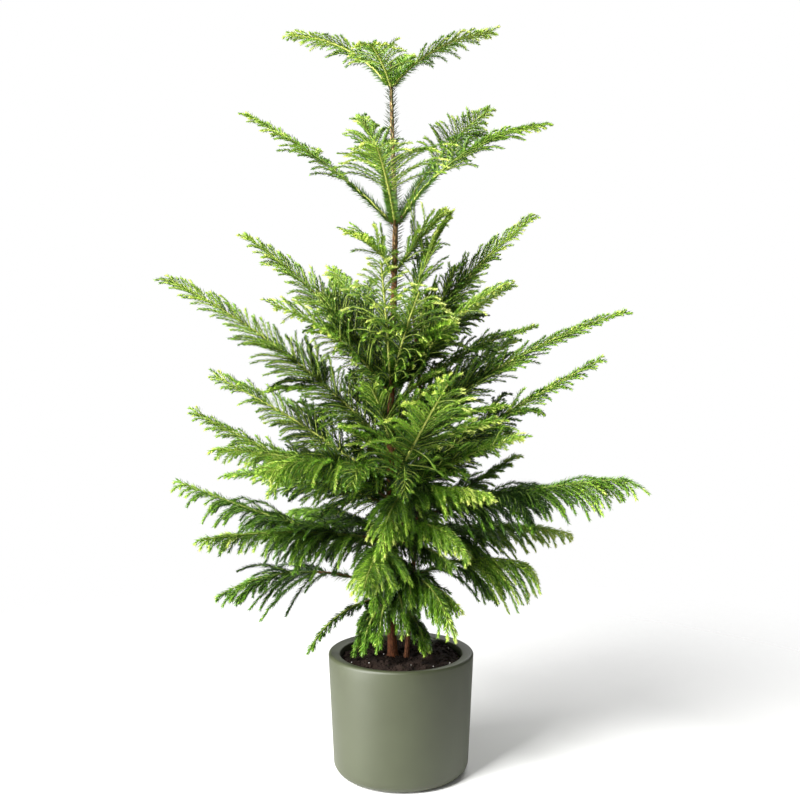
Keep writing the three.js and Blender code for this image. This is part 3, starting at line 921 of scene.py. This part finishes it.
spraySet = {
    "length": 86,
    "fullLimb": 330,  # limbs of this length carry full sprays
    "limbShare": (0.6, 1.05),  # on short and on long limbs
    "shortest": 16,
    "shortSpread": (0.8, 1.2),  # of the shortest
    "fewestPairs": 3,
    "stagger": 0.22,  # of the two in a pair, in pairs
    "placeSpread": 0.25,
    "last": 0.985,  # place of the last spray on the limb
    "forward": 35,
    "tipForward": 24,
    "forwardSpread": 14,
    "curl": 2,  # turn toward the limb's tip along a spray
    "curlSpread": 28,
    "rollSpread": 24,
    "lift": 0.14,  # V of the frond
    "strayRoll": 75,
    "hangRoll": 50,  # sprays of the underside, their reach along the limb and their length
    "hangTo": 0.85,
    "hangShare": 0.85,
    "innerTo": 0.5,  # sprays round the limb near the trunk, darkened as painted shade
    "innerShare": 0.8,
    "innerRoll": 90,
    # painted shade of the inner sprays and of those hanging underneath
    "innerPaintedShade": 0.26,
    "hangPaintedShade": 0.12,
    "rise": 0.34,  # growth is brighter toward the limb's tip
    "riseFrom": 0.45,
    "mottle": 0.11,
    "longestAt": 0.26,
    "rootShare": 0.8,  # length at the frond's start, to the longest
    "lengthSpread": (0.34, 0.8),  # flat sprays, ropes
    "ropePitch": 1.5,
    "ropeBend": (4, 1.6),
    "sagSpread": 0.7,
    "steps": 5,
    "core": (1.4, 0.7),  # radii of the green twig inside, root and tip
    "coreSides": 3,
    "coreColors": {"bright": paint(158, 178, 74), "dull": paint(104, 132, 48)},
    "coreRoughness": 0.6,
    "potRoom": 6,  # clear of the pot's rim and soil
}

sideSet = {  # sprays near the trunk that grow on into side limbs with sprays of their own
    "share": 0.05,
    "from": 0.04,
    "to": 0.5,
    "limbs": 230,  # on limbs longer than this
    "longer": 1.4,
    "bare": 0.12,
    "pitch": 11,
    "fewestPairs": 2,
    "stagger": 0.2,
    "last": 0.97,
    "sprayShare": 0.36,
    "lengthFrom": 0.8,
    "lengthSpread": 0.4,
    "shortest": 12,
    "rollSpread": 40,
    "rise": 0.12,
    "riseFrom": 0.4,
    "mottle": 0.06,
}

needleSet = {
    "fold": 0.3,  # a needle is keeled: its edges stand off its midline by this share of the width
    "belly": 0.55,  # widest here
    "hook": 0.14,  # tips bend along the twig
    "angleSpread": 16,
    "turnSpread": 0.25,
    "lengthSpread": 0.35,
    "fewest": 8,  # on a spray
    "mottle": 0.09,  # needles of a neighbouring tint in a spray
    "tipShare": 0.82,  # from here on a spray is new growth
    "budCount": 6,  # close needles at the end of a spray
    "budBright": 0.06,
    "mostPerPiece": 95000,
    "roughness": 0.4,
    "shine": 0.45,
    # greens from dark to light, dealt out by freshness together with painted light and painted shade
    "tints": {
        "deep": paint(25, 51, 6),
        "shade": paint(57, 91, 18),
        "leaf": paint(85, 128, 31),
        "fresh": paint(119, 160, 46),
        "bright": paint(165, 198, 72),
        "tip": paint(214, 225, 120),
    },
}


# needles to a millimetre, their length, width and angles, how few stand square to the frond
# and how much shorter they are at the end
def needleKind(perLength, length, rootAngle, tipAngle, flatten=0, width=1.8, tipThin=0.3, **tone):
    return {"perLength": perLength, "length": length, "rootAngle": rootAngle, "tipAngle": tipAngle,
            "flatten": flatten, "width": width, "tipThin": tipThin, **tone}


needleKinds = {
    "flat": needleKind(1.06, 8.2, 58, 32, 0.45),  # sprays lie between this and the next kind
    "rope": needleKind(1.696, 10.5, 46, 32),
    "bud": needleKind(0, 6, 42, 16, width=2.2),  # counted by the spray
    # on the limb itself, with tones: share of the limb's tone and painted light, painted shade, brighter
    # toward the tip, spread
    "rachis": needleKind(0.9, 10.5, 64, 32, 0.46, tipThin=0.45,
                         pale=1, shade=0, rise=0.26, riseFrom=0.45, mottle=0.08),
    # needles on the stalk near the trunk are darkened: painted shade
    "stalk": needleKind(2.8, 15, 64, 64, 0.46, tipThin=0,
                        pale=0, shade=0.08, rise=0, riseFrom=0, mottle=0.1),
}


def sprayWays(limbWay, roll, side):  # along the limb, out of it, and above
    level = unit(np.cross(limbWay, worldUp))
    above = np.cross(level, limbWay)
    roll = np.radians(roll)[:, None]
    outward = (level * np.cos(roll) + above * np.sin(roll)) * side[:, None]
    return limbWay, outward, above


def sprayPaths(roots, ways, tier, length, forward, rng, limp=1, arch=0):  # curved courses from their roots
    limbWay, outward, above = ways

    def scatter(width):
        return width * (rng.random(len(roots)) - 0.5)

    curl = spraySet["curl"] - arch + scatter(spraySet["curlSpread"])
    sag = limp * tier["sag"] * (1 + scatter(spraySet["sagSpread"]))
    droop = limp * tier["droop"] * (1 + scatter(spraySet["sagSpread"]))
    forward = forward + scatter(spraySet["forwardSpread"])
    steps = spraySet["steps"]
    points = [roots]
    for step in range(steps):
        part = (step + 0.5) / steps
        bend = part ** mix(*spraySet["ropeBend"], tier["rope"])
        angle = np.radians(forward - curl * part)[:, None]
        way = (limbWay * np.cos(angle) + outward * np.sin(angle)
               + above * spraySet["lift"] - worldUp * (sag + droop * bend)[:, None])
        points.append(points[-1] + unit(way) * (length * mm / steps)[:, None])
    return np.stack(points, axis=1)


def listed(counts):  # for every item of many groups, its group and its number there
    owner = np.repeat(np.arange(len(counts)), counts)
    return owner, np.arange(len(owner)) - np.repeat(np.cumsum(counts) - counts, counts)


def stepAt(paths, share):  # step of a path and part of it at a share of its length
    place = share * (paths.shape[1] - 1)
    step = np.minimum(place.astype(int), paths.shape[1] - 2)
    return step, (place - step)[:, None]


def freshAlong(look, along, rng):  # brighter toward the tip, and mottled
    return look["rise"] * (along - look["riseFrom"]) + rng.normal(0, look["mottle"], len(along))


def lengthShare(along, end):  # of the longest spray, by place on the limb
    return np.interp(along, (0, spraySet["longestAt"], 1), (spraySet["rootShare"], 1, end))


def frondFacing(growth):  # square to the frond's plane at mid length
    limbWay = growth["directionAt"](0.5)
    level = unit(np.cross(limbWay, worldUp))
    roll = math.radians(growth["row"]["roll"])
    return np.cross(limbWay, level * math.cos(roll) + np.cross(level, limbWay) * math.sin(roll))


def leafStart(growth):  # share of the limb where its own sprays begin
    bare = growth["row"]["bare"]
    return bare + (1 - bare) * max(growth["tier"]["start"], growth["row"]["first"])


def growSprays(growth, rng):  # courses, facing, lengths and freshness with painted light and shade of a limb's own sprays
    row, tier = growth["row"], growth["tier"]
    start = leafStart(growth)
    pitch = row["pitch"] * mix(1, spraySet["ropePitch"], tier["rope"])
    pairs = max(spraySet["fewestPairs"], int(row["length"] * (1 - start) / pitch))
    order = np.repeat(np.arange(pairs), 2)
    side = np.tile((-1.0, 1.0), pairs)
    hanging, inner = (int(2 * pairs * tier[kind]) for kind in ("hang", "inner"))
    order = np.concatenate((order, rng.uniform(0, pairs * spraySet["hangTo"], hanging),
                            rng.uniform(0, pairs * spraySet["innerTo"], inner)))
    side = np.concatenate((side, rng.choice((-1.0, 1.0), hanging + inner)))
    count = len(order)
    under = np.repeat((False, True, False), (2 * pairs, hanging, inner))
    inside = np.repeat((False, False, True), (2 * pairs, hanging, inner))
    scatter = rng.uniform(-spraySet["placeSpread"], spraySet["placeSpread"], count)
    along = (order + 0.5 + spraySet["stagger"] * side + scatter) / pairs
    along = np.clip(along, 0, spraySet["last"])
    share = np.where(inside, mix(row["bare"], 1.0, along), mix(start, 1.0, along))
    limbShare = np.clip(row["length"] / spraySet["fullLimb"], *spraySet["limbShare"])
    reach = row["spray"] * spraySet["length"] * limbShare
    uneven = mix(*spraySet["lengthSpread"], tier["rope"])
    length = reach * lengthShare(along, row["end"]) * (1 + uneven * (rng.random(count) - 0.5))
    rowShare = np.where(side * row["roll"] >= 0, row["crest"], row["skirt"])
    length *= np.where(under, spraySet["hangShare"], np.where(inside, spraySet["innerShare"], rowShare))
    length = np.maximum(length, spraySet["shortest"] * rng.uniform(*spraySet["shortSpread"], count))
    grownOn = (rng.random(count) < sideSet["share"]) & (along > sideSet["from"]) & (along < sideSet["to"])
    grownOn &= row["length"] > sideSet["limbs"]
    length = np.where(grownOn, length * sideSet["longer"], length)
    off = spraySet["rollSpread"] * (rng.random(count) - 0.5)
    stray = (rng.random(count) < tier["stray"]) & ~grownOn & ~under
    off += stray * spraySet["strayRoll"]
    off += inside * rng.uniform(-spraySet["innerRoll"], spraySet["innerRoll"], count)
    off -= under * spraySet["hangRoll"]
    ways = sprayWays(growth["directionAt"](share), row["roll"] + side * off, side)
    forward = mix(spraySet["forward"] + row["fan"], spraySet["tipForward"], along)
    paths = sprayPaths(growth["pointAt"](share), ways, tier, length, forward, rng, row["limp"], row["arch"])
    # the tier's and the limb's brightness carry painted light and painted shade along with the growth's own
    # tone
    fresh = tier["fresh"] + row["pale"] + freshAlong(spraySet, along, rng)
    # hanging and inner sprays are darkened: painted shade
    fresh -= spraySet["hangPaintedShade"] * under + spraySet["innerPaintedShade"] * inside
    return paths, unit(np.cross(*ways[:2])), length, fresh, grownOn


def growSideSprays(paths, length, fresh, tier, rng):  # sprays on the sprays that grow on into side limbs
    pairs = (length * (1 - sideSet["bare"]) / sideSet["pitch"]).astype(int)
    pairs = np.maximum(sideSet["fewestPairs"], pairs)
    owner, order = listed(2 * pairs)
    side = np.where(order % 2 == 0, -1.0, 1.0)
    along = (order // 2 + 0.5 + sideSet["stagger"] * side) / pairs[owner]
    step, part = stepAt(paths, mix(sideSet["bare"], sideSet["last"], along))
    near, far = paths[owner, step], paths[owner, step + 1]
    roll = sideSet["rollSpread"] * (rng.random(len(owner)) - 0.5)
    ways = sprayWays(unit(far - near), roll, side)
    sprayLength = length[owner] * sideSet["sprayShare"] * lengthShare(along, limbLook["end"])
    sprayLength *= sideSet["lengthFrom"] + sideSet["lengthSpread"] * rng.random(len(owner))
    sprayLength = np.maximum(sprayLength, sideSet["shortest"])
    forward = mix(spraySet["forward"], spraySet["tipForward"], along)
    grown = sprayPaths(mix(near, far, part), ways, tier, sprayLength, forward, rng)
    sprayFreshAndLit = fresh[owner] + freshAlong(sideSet, along, rng)
    return grown, unit(np.cross(*ways[:2])), sprayLength, sprayFreshAndLit


def clearOfPot(paths):
    rim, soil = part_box("pot")[1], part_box("soil")[1]
    room = spraySet["potRoom"] * mm
    radius = np.hypot(paths[:, :, 0], paths[:, :, 1])
    height = paths[:, :, 2]
    onRim = (radius > soil[0] - room) & (radius < rim[0] + room) & (height < rim[2] + room)
    inSoil = (radius <= soil[0] - room) & (height < soil[2] + room)
    return ~np.any(onRim | inSoil, axis=1)


def needlesOn(paths, flat, counts, kind, rng):  # a flattened spiral, with the path and the place of each
    width = kind["width"] * mm
    owner, order = listed(counts)
    total = len(owner)
    share = (order + rng.random(total)) / counts[owner]
    turn = order * goldenAngle + rng.uniform(0, 2 * math.pi, len(paths))[owner]
    turn += rng.normal(0, needleSet["turnSpread"], total)
    step, part = stepAt(paths, share)
    tangents, normals, crosses = framesAlong(paths)

    def between(values):
        return mix(values[owner, step], values[owner, step + 1], part)

    root = between(paths)
    tangent, normal, cross = (unit(between(values)) for values in (tangents, normals, crosses))
    facing = flat[owner]  # across the frond's plane, where needles are few
    turn += kind["flatten"] * np.sin(2 * turn)
    turn += np.arctan2(np.sum(facing * cross, axis=1), np.sum(facing * normal, axis=1))
    spoke = normal * np.cos(turn)[:, None] + cross * np.sin(turn)[:, None]
    across = cross * np.cos(turn)[:, None] - normal * np.sin(turn)[:, None]
    angle = mix(kind["rootAngle"], kind["tipAngle"], share)
    angle = np.radians(angle + needleSet["angleSpread"] * (rng.random(total) - 0.5))[:, None]
    way = tangent * np.cos(angle) + spoke * np.sin(angle)
    back = spoke * np.cos(angle) - tangent * np.sin(angle)
    size = kind["length"] * mm * (1 + needleSet["lengthSpread"] * (rng.random(total) - 0.5))
    size = (size * (1 - kind["tipThin"] * share ** 3))[:, None]
    belly = root + way * size * needleSet["belly"] - back * width * needleSet["fold"]
    tip = root + way * size * (1 - needleSet["hook"] / 2) + tangent * size * needleSet["hook"]
    needles = np.stack((root, belly + across * width / 2, tip, belly - across * width / 2), axis=1)
    return needles, owner, share


def sprayNeedles(growth, paths, flat, length, sprayFreshAndLit, rng):
    rope, newGrowth = growth["tier"]["rope"], growth["tier"]["tips"] + growth["row"]["gold"]
    kind = {key: mix(value, needleKinds["rope"][key], rope) for key, value in needleKinds["flat"].items()}
    counts = np.maximum(needleSet["fewest"], np.round(length * kind["perLength"])).astype(int)
    needles, owner, share = needlesOn(paths, flat, counts, kind, rng)
    fresh = sprayFreshAndLit[owner] + newGrowth * (share > needleSet["tipShare"])
    return needles, fresh + rng.normal(0, needleSet["mottle"], len(owner))


def budNeedles(growth, paths, flat, sprayFreshAndLit, rng):  # at the end of every spray
    newGrowth = growth["tier"]["tips"] + growth["row"]["gold"]
    counts = np.full(len(paths), needleSet["budCount"])
    needles, owner, _ = needlesOn(paths[:, -2:], flat, counts, needleKinds["bud"], rng)
    fresh = sprayFreshAndLit[owner] + newGrowth + needleSet["budBright"]
    return needles, fresh + rng.normal(0, needleSet["mottle"], len(owner))


def limbNeedles(growth, last, kind, rng):  # on the limb itself, up to a share of it
    row = growth["row"]
    path = growth["pointAt"](np.linspace(row["bare"], last, limbSet["rachisSteps"] + 1))[None]
    counts = np.array([int(row["length"] * (last - row["bare"]) * kind["perLength"])])
    needles, _, share = needlesOn(path, frondFacing(growth)[None], counts, kind, rng)
    # the tier's and limb's tone with painted light, less the kind's painted shade
    fresh = growth["tier"]["fresh"] + kind["pale"] * row["pale"] - kind["shade"]
    return needles, fresh + freshAlong(kind, share, rng)


def needleMesh(name, needles, material):
    halves = np.array(((0, 1, 2), (0, 2, 3)))
    faces = (halves[None] + (np.arange(len(needles)) * needles.shape[1])[:, None, None]).reshape(-1, 3)
    return arrayMesh(name, needles.reshape(-1, 3), [faces], material, smooth=False)


def needlePieces(needles, tintOf):
    for number, (tint, color) in enumerate(needleSet["tints"].items()):
        chosen = needles[tintOf == number]
        if len(chosen) == 0:
            continue
        material = plainFinish("needle_" + tint, color, needleSet["roughness"], needleSet["shine"])
        parts = np.array_split(chosen, math.ceil(len(chosen) / needleSet["mostPerPiece"]))
        for part, some in enumerate(parts):
            piece = needleMesh(f"needles_{tint}_{part + 1}", some, material)
            addPiece(piece, "needles", *frondNodes)
        print("needles", tint, len(chosen), "in", len(parts), "pieces")


def twigPieces(twigs):  # the green twig inside every spray
    radii = np.linspace(*spraySet["core"], spraySet["steps"] + 1) * mm
    for kind, color in spraySet["coreColors"].items():
        paths = np.concatenate(twigs[kind])
        points, faces = tubeArrays(paths, np.tile(radii, (len(paths), 1))[..., None], spraySet["coreSides"])
        material = plainFinish("sprayTwig_" + kind, color, spraySet["coreRoughness"])
        addPiece(arrayMesh("spray_twigs_" + kind, points, [faces], material), "needles", *frondNodes)
        print("sprays", kind, len(paths))


def limbPieces(limbs):
    for kind, color in limbSet["colors"].items():
        paths, radii = zip(*limbs[kind])
        points, faces = tubeArrays(np.stack(paths), np.stack(radii)[..., None], limbSet["rachisSides"])
        material = plainFinish("limb_" + kind, color, limbSet["roughness"])
        addPiece(arrayMesh("limb_" + kind, points, [faces], material), "twig_bark", *frondNodes)


def makeFronds():
    needles, fresh = [], []
    twigs = {kind: [] for kind in spraySet["coreColors"]}
    limbs = {kind: [] for kind in limbSet["colors"]}
    for number, growth in enumerate(growths):
        rng = np.random.default_rng(limbSet["seed"] + number)
        row, tier = growth["row"], growth["tier"]
        *sprays, grownOn = growSprays(growth, rng)
        if np.any(grownOn):
            side = (sprays[part][grownOn] for part in (0, 2, 3))
            sprays = [np.concatenate(both) for both in zip(sprays, growSideSprays(*side, tier, rng))]
        kept = clearOfPot(sprays[0])
        paths, flat, length, sprayFreshAndLit = (part[kept] for part in sprays)
        dressed = (sprayNeedles(growth, paths, flat, length, sprayFreshAndLit, rng),
                   budNeedles(growth, paths, flat, sprayFreshAndLit, rng),
                   limbNeedles(growth, 1, needleKinds["rachis"], rng),
                   limbNeedles(growth, leafStart(growth), needleKinds["stalk"], rng))
        for grown, bright in dressed:
            needles.append(grown)
            fresh.append(bright)
        line = "dull" if tier["sag"] > limbSet["dullSag"] else "bright"
        twigs[line].append(paths)
        turnsGreen = mix(row["bare"], 1, tier["brown"])
        for kind, first, last in (("brown", row["bare"], turnsGreen), (line, turnsGreen, 1.0)):
            if last > first:
                parts = np.linspace(first, last, limbSet["tubeRings"])
                radii = mix(*limbSet["radii"], parts)
                limbs[kind].append((growth["pointAt"](parts), radii))
    needles, fresh = np.concatenate(needles), np.concatenate(fresh)
    tintCount = len(needleSet["tints"])
    needlePieces(needles, np.clip((fresh * tintCount).astype(int), 0, tintCount - 1))
    twigPieces(twigs)
    limbPieces(limbs)
    print("needles:", len(needles))


makeFronds()


# needles that stand out from the leader

leaderSet = {
    "from": 690,  # heights
    "to": 1215,
    "steps": 60,
    "kind": needleKind(1.5, 20, 84, 60, width=1.9),
    "color": paint(62, 80, 40),
    "roughness": 0.55,
    "seed": 31,
}


def makeLeaderNeedles():
    rng = np.random.default_rng(leaderSet["seed"])
    heights = np.linspace(leaderSet["from"], leaderSet["to"], leaderSet["steps"]) * mm
    centers, _ = stemAt(trunkSet["course"], heights)
    kind = leaderSet["kind"]
    counts = np.array([int((leaderSet["to"] - leaderSet["from"]) * kind["perLength"])])
    needles, _, _ = needlesOn(centers[None], worldUp[None], counts, kind, rng)
    material = plainFinish("needle_leader", leaderSet["color"], leaderSet["roughness"])
    addPiece(needleMesh("needles_leader", needles, material), "needles")
    print("leader needles:", len(needles))


makeLeaderNeedles()
